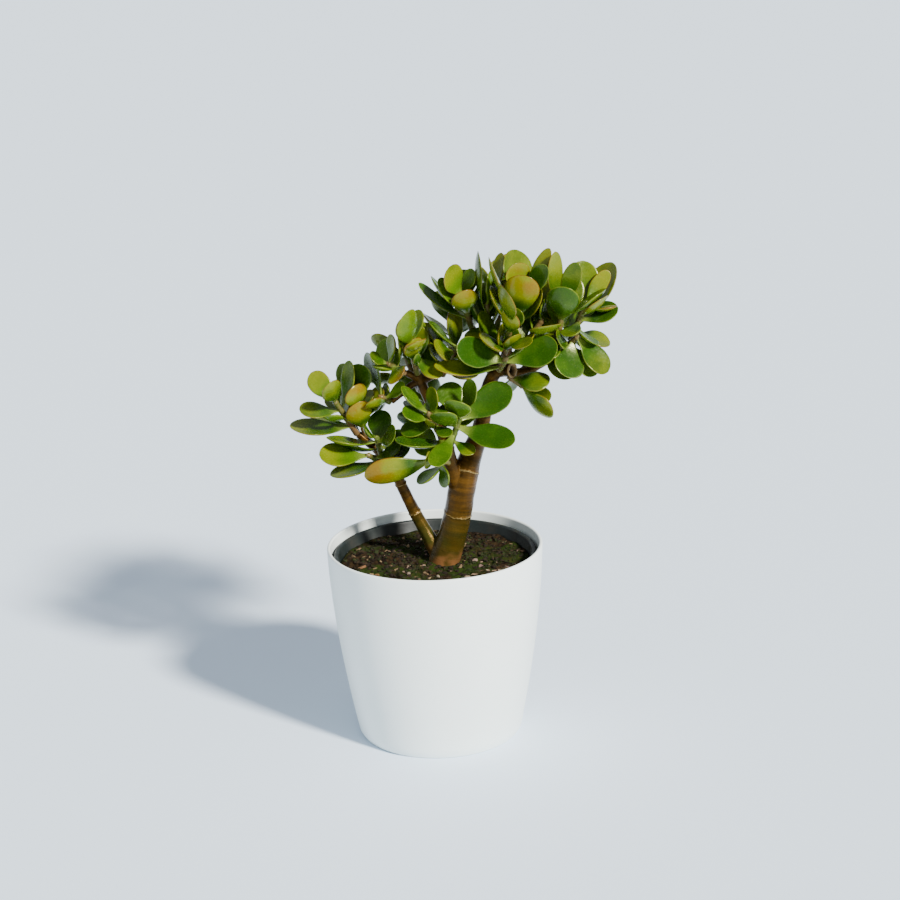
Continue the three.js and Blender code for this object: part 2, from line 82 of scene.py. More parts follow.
# Bark limbs, each a run of [x, y, z, radius]
LIMBS = {
    "trunk": [
        [8, 0, 126, 13.4], [8, 0, 146, 13.4], [8, 0, 160, 13.8], [11, 0, 170, 13.6],
        [16, 0, 186, 12.9], [22, 0, 208, 12.3], [26, 0, 229, 12.2], [31, 1, 249, 11.4],
        [36, 4, 262, 9.8], [43, 7, 279, 8], [48, 8, 300, 6.9], [52, 7, 321, 6.2],
        [58, 2, 335, 5.9], [64, -2, 340, 5.2],
    ],
    "middle": [
        [24, 0, 226, 8.6], [20, -3, 243, 8], [16, -6, 259, 6.8], [13, -8, 275, 6],
        [9, -8, 290, 5.4], [3, -5, 306, 4.8], [-3, -2, 320, 4.4], [-7, 0, 331, 4.3],
        [-9, 0, 338, 3.8],
    ],
    "left": [
        [8, 2, 160, 8.5], [0, 5, 173, 7.2], [-9, 8, 191, 5.9], [-17, 8, 207, 5.5],
        [-27, 6, 231, 5.1], [-34, 3, 249, 4.7], [-41, 0, 261, 4.3],
    ],
    "far_left": [[-39, 0, 257, 4.2], [-48, 6, 266, 3.8], [-58, 10, 275, 3.6], [-65, 11, 281, 3.4]],
    "droop": [[-7, 1, 332, 3.6], [-17, 3, 326, 3.2], [-26, 5, 318, 3], [-34, 5, 312, 2.8]],
    "left_mid": [[-8, 1, 332, 3.6], [-14, -3, 337, 3.2], [-20, -5, 341, 3]],
    "mid_up": [[-7, 0, 331, 3.8], [2, 4, 334, 3.4], [11, 6, 336, 3.2]],
    "top_left": [[58, 4, 333, 4.6], [49, 12, 349, 4.2], [43, 15, 365, 3.8], [39, 15, 376, 3.4]],
    "top_mid": [[58, 2, 333, 4.4], [56, 9, 348, 4], [53, 12, 364, 3.4]],
    "top_right": [[63, -1, 338, 4.6], [69, 0, 355, 4.2], [75, 0, 371, 3.6]],
    "right_far": [
        [63, -2, 339, 4.8], [82, 4, 335, 4.2], [103, 8, 343, 3.8], [117, 9, 351, 3.6],
        [124, 9, 360, 3.4],
    ],
    "right_front": [[103, 8, 343, 3.6], [110, 3, 355, 3.3], [113, 0, 365, 3.2]],
    "back_left": [[-7, 1, 332, 3.6], [-8, 18, 318, 3.3], [-12, 35, 322, 3]],
    "back_mid": [[-4, 2, 334, 3.6], [6, 22, 334, 3.3], [20, 40, 340, 3]],
    "back_top": [[60, 0, 335, 4.4], [60, 22, 350, 3.6], [62, 40, 362, 3.2]],
    "back_right": [[82, 4, 335, 3.8], [96, 20, 344, 3.4], [108, 35, 352, 3.1]],
    "back_low": [[13, -6, 278, 4], [12, 12, 268, 3.4], [10, 25, 272, 3]],
    "back_far_left": [[-41, 1, 261, 3.8], [-54, 18, 270, 3.4], [-66, 30, 276, 3]],
    "right_mid": [[71, 0, 350, 3.6], [81, 2, 354, 3.1]],
    "stub": [[62, 0, 337, 4.6], [68, -4, 340, 6.2], [74, -9, 341, 7]],
}

# Leafy shoots: foot and top of the green stem, turn of the lowest pair round it in degrees,
# and the leaf pairs from the bottom up, each square to the one below. A leaf is
# [length, lean from the stem, width, swing, roll]; None is a leaf that has dropped.
SHOOTS = {
    "far_left": {"foot": [-66, 9, 282], "top": [-83, -8, 317], "turn": 180, "pairs": [
        [[55, 60, 29, 5, 5], [30, 70, 19, 65, 50]],
        [[26, 38, 15, -35, 15], [22, 46, 15, -20, -30]],
        [[37, 58, 23, 5, 5], [45, 48, 18, 45, -5]],
        [[34, 24, 21, 40, -5], [35, 52, 20, 30, -10]],
    ]},
    "far_left_up": {"foot": [-58, 11, 278], "top": [-64, 0, 312], "turn": -80, "pairs": [
        [[35, 13, 25, -5, 10], [38, 50, 27]],
        [[35, 55, 20, 30], [27, 5, 17, 20, -80]],
        [[31, 6, 24, 25], [25, 69, 17, -40, -20]],
        [[36, 32, 25, 55, 10], [41, 53, 21, -80, -40]],
    ]},
    "low_left": {"foot": [-43, -2, 258], "top": [-56, -12, 268], "turn": 180, "pairs": [
        [[46, 51, 28, 20, 20], [32, 102, 20, 5, -25]],
        [None, [27, 107, 19, -80, -15]],
        [[44, 36, 28, 5, 15], None],
    ]},
    "low_left_up": {"foot": [-45, 1, 266], "top": [-48, -12, 284], "turn": 145, "pairs": [
        [[36, 83, 24, 25, 60], [28, 85, 19, 60]],
        [None, [32, 65, 25, 25, -15]],
        [[46, 72, 26, 35, 35], [30, 45, 21, 10, 15]],
        [[24, 20, 14, -30], None],
    ]},
    "low_middle": {"foot": [15, -12, 259], "top": [1, -27, 267], "turn": -160, "pairs": [
        [[31, 64, 24, 20, 40], None],
        [[25, 98, 18, -10, 25], [40, 90, 27, 20]],
        [[62, 50, 30, -4, 118], [23, 25, 16, -50, 15]],
    ]},
    "low_right": {"foot": [16, -12, 272], "top": [27, -26, 308], "turn": -20, "pairs": [
        [[24, 89, 14, -15, 20], [55, 89, 28, 40, 25]],
        [[36, 60, 25], [47, 99, 18, -5]],
        [[53, 83, 29, 5, 20], [34, 51, 25, 50, 55]],
        [[55, 58, 29, -40, 20], [32, 27, 25, -20, 30]],
        [[37, 3, 20, 40, 10], [32, 70, 25, -35, -20]],
    ]},
    "inner_left": {"foot": [8, -12, 285], "top": [-1, -24, 308], "turn": -135, "pairs": [
        [[19, 14, 11, 10, 10], [27, 30, 16, 40]],
        [[24, 90, 14, -10, -15], [31, 83, 19, 45, -5]],
        [[29, 44, 18, -40, -5], [29, 38, 16, 15, -10]],
        [[36, 110, 20, 75], [34, 41, 18, 0, 35]],
    ]},
    "droop": {"foot": [-35, 4, 312], "top": [-43, 0, 318], "turn": -85, "pairs": [
        [[26, 32, 16, -20, 20], [19, 81, 11, 0, -20]],
        [[25, 96, 15, 0, 5], [36, 115, 22, -40]],
        [None, [42, 58, 28, -15, -25]],
    ]},
    "left_mid": {"foot": [-21, -6, 341], "top": [-35, -14, 352], "turn": -65, "pairs": [
        [None, [34, 65, 24]],
        [[34, 55, 18, 0, -15], [24, 20, 16, 20]],
        [[27, 81, 21, 0, -15], [28, 71, 21, -15, 5]],
        [[27, 63, 16, 15], [21, 3, 14, -20, -5]],
    ]},
    "left_up": {"foot": [-10, -3, 339], "top": [-15, -20, 370], "turn": -100, "pairs": [
        [[25, 23, 9, 35, 15], [38, 35, 27]],
        [[28, 7, 21, -20, -25], [26, 10, 14, -30]],
        [[32, 110, 19, 60], [45, 80, 27, 10]],
        [[26, 34, 20, -45, -5], [30, 5, 21, -20, -15]],
        [[42, 6, 28, 45, 15], [33, 63, 19, -10, -25]],
    ]},
    "middle_up": {"foot": [12, 4, 335], "top": [26, -10, 364], "turn": 135, "pairs": [
        [[40, 75, 27, 10, -30], [34, 60, 24]],
        [[30, 60, 21, -30], [34, 50, 24, -10]],
        [[34, 75, 20, 5, 25], [26, 40, 18, 0, -15]],
        [[30, 69, 23, -10, -20], [44, 70, 23, 50, 30]],
        [[34, 80, 24, 15, 30], None],
    ]},
    "crown_front": {"foot": [62, -6, 341], "top": [68, -27, 357], "turn": 175, "pairs": [
        [[62, 84, 21, 10, 25], None],
        [None, [50, 76, 25, 30, 40]],
        [[49, 71, 28, 0, -5], [49, 59, 29, 15, -5]],
        [None, [33, 60, 20, -45, -65]],
    ]},
    "front_up": {"foot": [66, -4, 349], "top": [73, -32, 391], "turn": -30, "pairs": [
        [[29, 15, 19, -20, -15], [30, 17, 23, -5, 10]],
        [[18, 35, 13, -15, 10], [34, 55, 27, -30]],
        [[32, 55, 19, -25, 15], None],
        [[26, 20, 18], [33, 8, 20, -10, 5]],
        [None, None],
        [None, [46, 15, 31, -40, 5]],
    ]},
    "top_right": {"foot": [75, 0, 371], "top": [83, -12, 408], "turn": 5, "pairs": [
        [[44, 20, 25, 0, 15], [46, 40, 26]],
        [[38, 55, 27], [47, 6, 31, -20, 5]],
        [[40, 60, 24, 40, 15], [63, 35, 16]],
        [[50, 52, 34, 5, 20], [46, 19, 18, 75, 65]],
        [[49, 27, 13, 35, 10], [31, 23, 24, -40, -35]],
    ]},
    "top_left": {"foot": [39, 13, 376], "top": [32, -2, 406], "turn": -160, "pairs": [
        [[56, 43, 14, -40, 10], [32, 90, 20, 45, 65]],
        [[33, 11, 24, 0, -10], [48, 59, 16, 20, 50]],
        [[39, 27, 19, -35, -10], [19, 25, 14, 20, 15]],
        [None, [32, 62, 24, -25, 5]],
        [[37, 6, 24, -35, -25], [27, 48, 16, 30, -10]],
    ]},
    "top_mid": {"foot": [53, 12, 364], "top": [53, 8, 396], "turn": 170, "pairs": [
        [[34, 29, 14, 10, 25], [34, 20, 18, 15, -5]],
        [[28, 105, 19, -30], [38, 40, 27, 0, 15]],
        [[58, 7, 38, -20, 25], [32, 18, 20, 30, 5]],
        [[34, 10, 18, 35, 45], [49, 36, 18, -20, -30]],
    ]},
    "right_front": {"foot": [114, -1, 365], "top": [118, -14, 395], "turn": -95, "pairs": [
        [[32, 105, 19, -20], [45, 20, 29, 0, 5]],
        [[40, 90, 22, 65, 50], None],
        [[42, 7, 29, -10], [44, 52, 31, -10, 15]],
        [[46, 53, 35, 15, -30], [60, 20, 18, -50, 10]],
        [None, [44, 29, 17, -20, 15]],
    ]},
    "right_far": {"foot": [126, 8, 362], "top": [138, -2, 393], "turn": 5, "pairs": [
        [[35, 92, 27, 0, -5], [32, 70, 23, -30]],
        [[65, 38, 38, -30, -40], [28, 88, 22, 30, -20]],
        [[36, 53, 27, 0, 5], [26, 102, 19, 60, 35]],
        [[48, 45, 29, 10, -25], [37, 31, 24, 15, 30]],
        [[29, 67, 15, -5, -30], [40, 41, 15, -125, 15]],
    ]},
    "right_down": {"foot": [118, 6, 353], "top": [131, -12, 370], "turn": -105, "pairs": [
        [[34, 90, 27], [50, 110, 26, 45, -50]],
        [[36, 90, 25, -30], [28, 55, 19, 30]],
        [[37, 95, 29, 5, 10], [36, 110, 23, -65, -25]],
        [[41, 95, 26, -25, 5], None],
    ]},
    "right_low": {"foot": [70, -5, 335], "top": [82, -9, 326], "turn": 70, "pairs": [
        [[36, 35, 25, -25, 15], [36, 85, 25, 0, 15]],
        [[38, 9, 29, -5], [28, 20, 19, -30]],
    ]},
    "back_left": {"foot": [-12, 35, 322], "top": [-20, 48, 341], "turn": 20, "pairs": [
        [[44, 75, 28], [44, 75, 28, -20]],
        [[40, 55, 26], [40, 55, 26]],
        [[36, 42, 23], [36, 42, 23]],
    ]},
    "back_mid": {"foot": [20, 40, 340], "top": [24, 58, 376], "turn": 50, "pairs": [
        [[44, 75, 28], [44, 70, 28, 0, -15]],
        [[40, 55, 26], [40, 55, 26]],
        [[36, 42, 23], [36, 42, 23]],
        [[32, 30, 20], [32, 30, 20]],
    ]},
    "back_top": {"foot": [62, 40, 362], "top": [68, 58, 400], "turn": 15, "pairs": [
        [[44, 75, 28], None],
        [[40, 55, 26], [40, 55, 26]],
        [[36, 42, 23], [36, 42, 23]],
        [[32, 30, 20], [32, 30, 20]],
    ]},
    "back_right": {"foot": [108, 35, 352], "top": [120, 52, 386], "turn": 40, "pairs": [
        [[44, 75, 28], [38, 50, 22, 10, 15]],
        [[40, 50, 26, 0, 15], [40, 55, 26, 0, -15]],
        [[36, 42, 23], [36, 42, 23]],
        [[32, 30, 20], [32, 30, 20]],
    ]},
    "back_low": {"foot": [10, 25, 272], "top": [-4, 42, 300], "turn": 30, "pairs": [
        [[40, 55, 26], [40, 55, 26]],
        [[36, 42, 23], [36, 42, 23]],
        [[32, 30, 20, 0, 15], [32, 25, 20]],
    ]},
    "back_far_left": {"foot": [-66, 30, 276], "top": [-80, 44, 304], "turn": 10, "pairs": [
        [[40, 55, 26], [40, 55, 26]],
        [[36, 42, 23], [36, 42, 23]],
        [[32, 30, 20], [32, 30, 20]],
    ]},
    "right_mid": {"foot": [81, 2, 354], "top": [100, -4, 383], "turn": 0, "pairs": [
        [[32, 23, 23, 30, 15], [40, 55, 27, -45, -40]],
        [[30, 43, 16, 35, 20], [38, 46, 30, 5, 30]],
        [[40, 75, 27, 70, 15], [23, 25, 16, 10, -30]],
    ]},
}

# How far the sun has turned each shoot's leaves from green (0) to orange (1)
SUN = {
    "far_left": 0.35, "far_left_up": 0.4, "low_left": 0.12, "low_left_up": 0.15, "low_middle": 0.2,
    "low_right": 0.05, "inner_left": 0.12, "droop": 0.1, "left_mid": 0.3, "left_up": 0.45,
    "middle_up": 0.35, "crown_front": 0.3, "front_up": 0.35, "top_right": 0.5, "top_left": 0.35,
    "top_mid": 0.25, "right_front": 0.3, "right_far": 0.4, "right_down": 0.15, "right_low": 0.25,
    "right_mid": 0.2, "back_left": 0.35, "back_mid": 0.3, "back_top": 0.45, "back_right": 0.4,
    "back_low": 0.1, "back_far_left": 0.35,
}
# The same for single leaves that can be told apart in the photograph, by (pair, side)
LEAF_SUN = {
    "far_left": {
        (0, 0): 0.35, (1, 0): 0, (1, 1): 0, (2, 0): 0.35, (2, 1): 0.25, (3, 0): 0.4, (3, 1): 0.5,
    },
    "far_left_up": {(0, 0): 0.95, (2, 0): 0.8, (2, 1): 0.4, (3, 0): 0.1, (3, 1): 0.2},
    "low_left": {(0, 0): 0.3, (0, 1): 0, (1, 1): 0, (2, 0): 0.4},
    "low_left_up": {(0, 0): 0, (1, 1): 0.05, (2, 0): 0.25},
    "low_middle": {(0, 0): 0.1, (1, 0): 0, (2, 0): 0.95},
    "low_right": {
        (0, 0): 0.3, (0, 1): 0.1, (1, 1): 0.15, (2, 0): 0.05, (2, 1): 0, (3, 0): 0, (3, 1): 0,
        (4, 0): 0, (4, 1): 0.05,
    },
    "inner_left": {(0, 0): 0.4, (1, 1): 0.1, (2, 0): 0, (2, 1): 0.3, (3, 1): 0.1},
    "droop": {(0, 0): 0.45, (0, 1): 0, (1, 0): 0, (2, 1): 0},
    "left_mid": {(2, 0): 0.8, (2, 1): 0, (3, 0): 0.4, (3, 1): 0.2},
    "left_up": {(0, 0): 0.1, (1, 0): 0.6, (3, 0): 0.6, (4, 0): 0.3, (4, 1): 0.25},
    "middle_up": {(2, 0): 0.3, (3, 0): 0.4, (3, 1): 0.6, (4, 0): 0},
    "crown_front": {(0, 0): 0.5, (1, 1): 0.2, (2, 0): 0.05, (2, 1): 0.1},
    "front_up": {(0, 0): 0.4, (0, 1): 0.45, (1, 0): 0.15, (3, 1): 0.6, (5, 1): 0.45},
    "top_right": {(1, 1): 0.85, (3, 0): 0.3, (3, 1): 0.1, (4, 0): 0.5, (4, 1): 0.7},
    "top_left": {
        (0, 0): 0, (1, 0): 0.7, (1, 1): 0.05, (2, 0): 0.1, (3, 1): 0.3, (4, 0): 0.5, (4, 1): 0.1,
    },
    "top_mid": {(0, 0): 0.1, (0, 1): 0.2, (2, 0): 0.3, (2, 1): 0, (3, 0): 0.15, (3, 1): 0.5},
    "right_front": {(0, 1): 0.05, (2, 0): 0.05, (2, 1): 0.25, (3, 0): 0.2, (3, 1): 0.45, (4, 1): 0.25},
    "right_far": {
        (0, 0): 0.4, (1, 0): 0.4, (1, 1): 0, (2, 0): 0, (2, 1): 0.2, (3, 0): 0.3, (3, 1): 0.45,
        (4, 0): 0.6, (4, 1): 0.6,
    },
    "right_down": {(2, 0): 0, (3, 0): 0.3},
    "right_low": {(0, 0): 0.3, (1, 0): 0.45},
    "right_mid": {(0, 0): 0.4, (1, 0): 0.1, (1, 1): 0.35},
}


# Meshes from number arrays

def closed_faces(rings, sides):
    """Faces of a closed tube of rings, with one middle vertex at each end after the rings."""
    faces = []
    first, last = rings * sides, rings * sides + 1
    for i in range(rings - 1):
        for j in range(sides):
            a, b = i * sides + j, i * sides + (j + 1) % sides
            faces.append((a, b, b + sides, a + sides))
    top = (rings - 1) * sides
    for j in range(sides):
        following = (j + 1) % sides
        faces.append((first, following, j))
        faces.append((last, top + j, top + following))
    return faces


class Pile:
    """Vertices, faces and per-vertex numbers of one piece, gathered bit by bit."""

    def __init__(self, *names):
        self.points, self.faces, self.count = [], [], 0
        self.values = {name: [] for name in names}

    def add(self, points, faces, **values):
        points = np.asarray(points, float)
        self.faces.extend(tuple(i + self.count for i in face) for face in faces)
        self.points.append(points)
        self.count += len(points)
        for name, store in self.values.items():
            store.append(np.full(len(points), values.get(name, 0), float))

    def make(self, name, material, smooth=True):
        """The Blender object, in metres, with its numbers as point attributes."""
        mesh = bpy.data.meshes.new(name)
        mesh.from_pydata((np.vstack(self.points) * MM).tolist(), [], self.faces)
        set_values(mesh, {key: np.concatenate(store) for key, store in self.values.items()})
        return finish_piece(name, mesh, material, smooth)


def set_values(mesh, values):
    for key, numbers in values.items():
        attribute = mesh.attributes.new(key, "FLOAT", "POINT")
        attribute.data.foreach_set("value", numbers.astype(np.float32))


def finish_piece(name, mesh, material, smooth=True):
    piece = bpy.data.objects.new(name, mesh)
    bpy.context.scene.collection.objects.link(piece)
    mesh.polygons.foreach_set("use_smooth", [smooth] * len(mesh.polygons))
    mesh.materials.append(material)
    mesh.update()
    return piece


def with_modifiers(piece):
    """A new mesh of a piece as its modifiers leave it."""
    return bpy.data.meshes.new_from_object(piece.evaluated_get(bpy.context.evaluated_depsgraph_get()))


def unit(vector):
    return vector / max(np.linalg.norm(vector), 1e-9)


def rise(start, end, value):
    """0 at start and before it, 1 at end and past it, smooth between; end may be the lower."""
    share = np.clip((value - start) / (end - start), 0, 1)
    return share * share * (3 - 2 * share)


# Runs and tubes

def smooth_run(run, step):
    """Rows [x, y, z, radius] along a centripetal curve through a run, about step mm apart."""
    points = np.array(run, float)
    around = np.vstack([2 * points[0] - points[1], points, 2 * points[-1] - points[-2]])
    rows = []
    for before, start, end, after in zip(around, around[1:], around[2:], around[3:]):
        pairs = ((before, start), (start, end), (end, after))
        t0, t1, t2 = (max(np.linalg.norm((q - p)[:3]), 1e-6) ** 0.5 for p, q in pairs)
        leave = ((start - before) / t0 - (end - before) / (t0 + t1) + (end - start) / t1) * t1
        arrive = ((end - start) / t1 - (after - start) / (t1 + t2) + (after - end) / t2) * t1
        count = max(2, int(np.linalg.norm((end - start)[:3]) / step))
        for t in np.arange(count) / count:
            row = (
                (2 * t**3 - 3 * t**2 + 1) * start + (t**3 - 2 * t**2 + t) * leave
                + (3 * t**2 - 2 * t**3) * end + (t**3 - t**2) * arrive
            )
            row[3] = start[3] + (end[3] - start[3]) * t
            rows.append(row)
    rows.append(points[-1])
    return np.array(rows)


def reach_along(middles):
    """Distance along a run of points, from its first."""
    return np.concatenate([[0], np.cumsum(np.linalg.norm(np.diff(middles, axis=0), axis=1))])


def tube(rows, sides):
    """Vertices and faces of a round tube along rows, and each vertex's distance along it."""
    middles, radii = rows[:, :3], rows[:, 3]
    tangents = np.gradient(middles, axis=0)
    across = np.array([0.0, -1.0, 0.0])
    turns = np.arange(sides) * 2 * np.pi / sides
    rings = []
    for middle, radius, tangent in zip(middles, radii, tangents):
        tangent = unit(tangent)
        across = unit(across - tangent * across.dot(tangent))
        through = np.cross(tangent, across)
        circle = np.outer(np.cos(turns), across) + np.outer(np.sin(turns), through)
        rings.append(middle + radius * circle)
    along = reach_along(middles)
    points = np.vstack(rings + [middles[:1], middles[-1:]])
    return points, closed_faces(len(rows), sides), np.append(np.repeat(along, sides), along[[0, -1]])


# Leaves

def leaf_outline(share):
    """Half-width of a leaf along its length, as a share of its greatest half-width."""
    wide = LEAF_HEEL + (1 - LEAF_HEEL) * rise(0, LEAF_WIDEST, share) ** LEAF_FLARE
    past = np.clip((share - LEAF_WIDEST) / (1 - LEAF_WIDEST), 0, 1)
    return np.where(share < LEAF_WIDEST, wide, np.sqrt(np.clip(1 - past**LEAF_ROUND, 0, 1)))


def outline_slope(share):
    step = 0.01
    return (leaf_outline(share + step) - leaf_outline(share - step)) / (2 * step)


def leaf_mesh(length, width, draw):
    """Points of one thick spoon-shaped leaf along +Y, upper face +Z, with their distance from
    the rim in mm and their share of its length."""
    share = (1 - np.cos(np.pi * np.arange(1, LEAF_RINGS + 1) / (LEAF_RINGS + 1))) / 2
    angle = 2 * np.pi * np.arange(LEAF_SIDES) / LEAF_SIDES
    share = np.repeat(share, LEAF_SIDES)
    side, face = np.tile(np.cos(angle), LEAF_RINGS), np.tile(np.sin(angle), LEAF_RINGS)
    outline = leaf_outline(share)
    depth = HEEL_DEPTH + (1 - HEEL_DEPTH) * outline
    depth = LEAF_THICKNESS / 2 * depth * np.sqrt(1 - share**TIP_POWER)
    upper = UPPER_HEIGHT * np.abs(face) ** UPPER_POWER
    lower = -LOWER_HEIGHT * np.abs(face) ** LOWER_POWER
    wave = EDGE_WAVE * np.sin(2 * np.pi * (share * draw.uniform(*EDGE_WAVES) + draw.random()))
    flare = outline * side
    bow = LEAF_CUP * width * flare**2 - LEAF_ARCH * length * 4 * share * (1 - share)
    bend = draw.uniform(-SIDE_BEND, SIDE_BEND) * length * np.sin(np.pi * share)
    x = flare * width / 2 * (1 + wave) + bend
    y = LEAF_SUNK + share * (length - LEAF_SUNK)
    z = depth * np.where(face > 0, upper, lower) + bow
    twist = math.radians(draw.uniform(-TWIST, TWIST)) * share
    x, z = x * np.cos(twist) - z * np.sin(twist), x * np.sin(twist) + z * np.cos(twist)
    steep = outline_slope(share) * width / 2 / length
    rim = outline * width / 2 * (1 - np.abs(side)) / np.sqrt(1 + steep**2)
    points = np.vstack([np.column_stack([x, y, z]), (0, LEAF_SUNK, 0), (0, length * TIP_END, 0)])
    return points, np.append(rim, [FAR_FROM_RIM, 0]), np.append(share, [0, 1])


def leaf_place(shoot, pair, side, lean, swing, roll):
    """Heel and axes of one leaf: across, along and up through its upper face."""
    foot, top = np.array(shoot["foot"], float), np.array(shoot["top"], float)
    axis = unit(top - foot)
    east = unit(np.array([1.0, 0, 0]) - axis * axis[0])
    north = np.cross(axis, east)
    turn = math.radians(shoot["turn"] + 90 * (pair % 2) + 180 * side + swing)
    outward = east * math.cos(turn) + north * math.sin(turn)
    along = axis * math.cos(lean) + outward * math.sin(lean)
    face = axis * math.sin(lean) - outward * math.cos(lean)
    face = face * math.cos(roll) + np.cross(along, face) * math.sin(roll)
    return foot + (top - foot) * pair_level(shoot, pair), np.array([np.cross(along, face), along, face])


def pair_level(shoot, pair):
    """Where a pair of leaves stands, as a share of its stem."""
    last = max(len(shoot["pairs"]) - 1, 1)
    return FIRST_PAIR + (1 - FIRST_PAIR) * pair / last


def add_leaf(pile, name, pair, side, leaf, draw):
    shoot = SHOOTS[name]
    length, lean, *rest = leaf
    width, swing, roll = (rest + [LEAF_RATIO * length, 0, 0][len(rest):])[:3]
    heel, axes = leaf_place(shoot, pair, side, math.radians(lean), swing, math.radians(roll))
    points, rim, along = leaf_mesh(length, width, draw)
    sun = LEAF_SUN.get(name, {}).get((pair, side), SUN[name] * draw.uniform(*SUN_SPREAD))
    tone = draw.uniform(*TONE_SPREAD) * (OLD_TONE + YOUNG_TONE * pair / len(shoot["pairs"]))
    faces = closed_faces(LEAF_RINGS, LEAF_SIDES)
    pile.add(heel + points @ axes, faces, rim=rim, along=along, sun=sun, tone=tone)


def add_stem(pile, shoot):
    foot, top = np.array(shoot["foot"], float), np.array(shoot["top"], float)
    axis, length = unit(top - foot), np.linalg.norm(top - foot)
    bud = top + axis * STEM_BUD
    rows = smooth_run([[*foot, STEM_FOOT], [*top, STEM_TOP], [*bud, STEM_TIP]], STEM_STEP)
    reach = (rows[:, :3] - foot) @ axis
    for pair in range(len(shoot["pairs"])):
        away = (reach - pair_level(shoot, pair) * length) / NODE_WIDTH
        rows[:, 3] *= 1 + NODE_SWELL * np.exp(-(away**2))
    points, faces, distance = tube(rows, STEM_SIDES)
    pile.add(points, faces, stem=1, along=distance / STEM_SPAN, rim=FAR_FROM_RIM)


def make_shoots(material):
    draw = random.Random(LEAF_SEED)
    for name, shoot in SHOOTS.items():
        pile = Pile("rim", "along", "sun", "tone", "stem")
        add_stem(pile, shoot)
        for pair, leaves in enumerate(shoot["pairs"]):
            for side, leaf in enumerate(leaves):
                if leaf:
                    add_leaf(pile, name, pair, side, leaf, draw)
        piece = pile.make(f"leafy_{name}", material)
        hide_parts(f"shoot_{name}")
        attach(piece, BODY)


# Trunk and branches

# Rings left by old pairs of leaves: distance along each limb, then their height, width and
# how far they swing up and down round the limb
SCARS = {"trunk": [82, 124, 160], "left": [53, 84], "middle": [46, 84]}
SCAR_HEIGHT, SCAR_WIDTH, SCAR_SWING = 0.7, 0.8, 0.8
# The sawn end of the stub: its radius, the radius and depth of the hollow middle, which is painted dark
# as shade, how soft both edges are, how far they wander and over what length, and where the sawn face
# starts
STUB_RADIUS, HOLLOW_RADIUS, HOLLOW_DEPTH = 8, 5, 4
STUB_EDGE, HOLLOW_EDGE, STUB_WANDER, WANDER_LENGTH = 0.5, 1.6, 1.6, 3.5
SAWN_FROM, SAWN_TO = -1.2, -0.4
# Lumps and ridges of the bark: their size, and how far they stand proud
LUMP_SIZE, LUMP_HEIGHT = 9, 0.35
RIDGES_ROUND, RIDGE_LENGTH, RIDGE_HEIGHT = 3, 24, 0.3
# Added to the distance along each next limb, so that no two show the same streaks
RUN_OFFSET = 37.0


def nearest_limb(points):
    """For each point: distance along its nearest limb, angle round it and that limb's number."""
    runs = [smooth_run(run, LIMB_STEP) for run in LIMBS.values()]
    marks = np.concatenate([reach_along(run[:, :3]) for run in runs])
    owners = np.repeat(np.arange(len(runs)), [len(run) for run in runs])
    rows = np.vstack(runs)
    best = np.empty(len(points), int)
    block = 4000
    for start in range(0, len(points), block):
        some = points[start:start + block]
        gaps = np.linalg.norm(some[:, None, :] - rows[None, :, :3], axis=2) - rows[None, :, 3]
        best[start:start + block] = gaps.argmin(axis=1)
    offset = points - rows[best, :3]
    return marks[best], np.arctan2(offset[:, 0], -offset[:, 1]), owners[best]


def scar_strength(along, angle, owner):
    """1 on the ring left by an old pair of leaves, falling to 0 beside it."""
    strength = np.zeros(len(along))
    for number, name in enumerate(LIMBS):
        for mark in SCARS.get(name, []):
            middle = mark + SCAR_SWING * (2 * np.abs(np.sin(angle + mark)) - 1)
            ring = np.exp(-(((along - middle) / SCAR_WIDTH) ** 2))
            strength = np.maximum(strength, (owner == number) * ring)
    return strength


def soft_noise(points, size):
    return np.array([noise.noise(Vector(point) / size) for point in points])


def bark_ridges(along, angle):
    around = RIDGES_ROUND * np.cos(angle), RIDGES_ROUND * np.sin(angle)
    return soft_noise(np.column_stack([*around, along / RIDGE_LENGTH]), 1)


def stub_end(points):
    """How far each point belongs to the stub's sawn face and to its hollow, and the way out."""
    before, end = (np.array(place[:3], float) for place in LIMBS["stub"][-2:])
    out = unit(end - before)
    reach = (points - end) @ out
    off_axis = np.linalg.norm(points - end - np.outer(reach, out), axis=1)
    off_axis += STUB_WANDER * soft_noise(points, WANDER_LENGTH)
    sawn = rise(SAWN_FROM, SAWN_TO, reach) * rise(STUB_RADIUS, STUB_RADIUS - STUB_EDGE, off_axis)
    return sawn, sawn * rise(HOLLOW_RADIUS, HOLLOW_RADIUS - HOLLOW_EDGE, off_axis), out


def joined_limbs(material):
    """One mesh of all the limbs, with their joints softened."""
    pile = Pile()
    for run in LIMBS.values():
        points, faces, _ = tube(smooth_run(run, BARK_STEP), BARK_SIDES)
        pile.add(points, faces)
    rough = pile.make("bark_tubes", material)
    remesh = rough.modifiers.new("join", "REMESH")
    remesh.mode = "VOXEL"
    remesh.voxel_size = BARK_VOXEL * MM
    smooth = rough.modifiers.new("soften", "SMOOTH")
    smooth.factor, smooth.iterations = 0.5, 5
    mesh = with_modifiers(rough)
    bpy.data.objects.remove(rough)
    mesh.materials.clear()
    return mesh


def read_vectors(mesh, key):
    numbers = np.empty(len(mesh.vertices) * 3)
    mesh.vertices.foreach_get(key, numbers)
    return numbers.reshape(-1, 3)


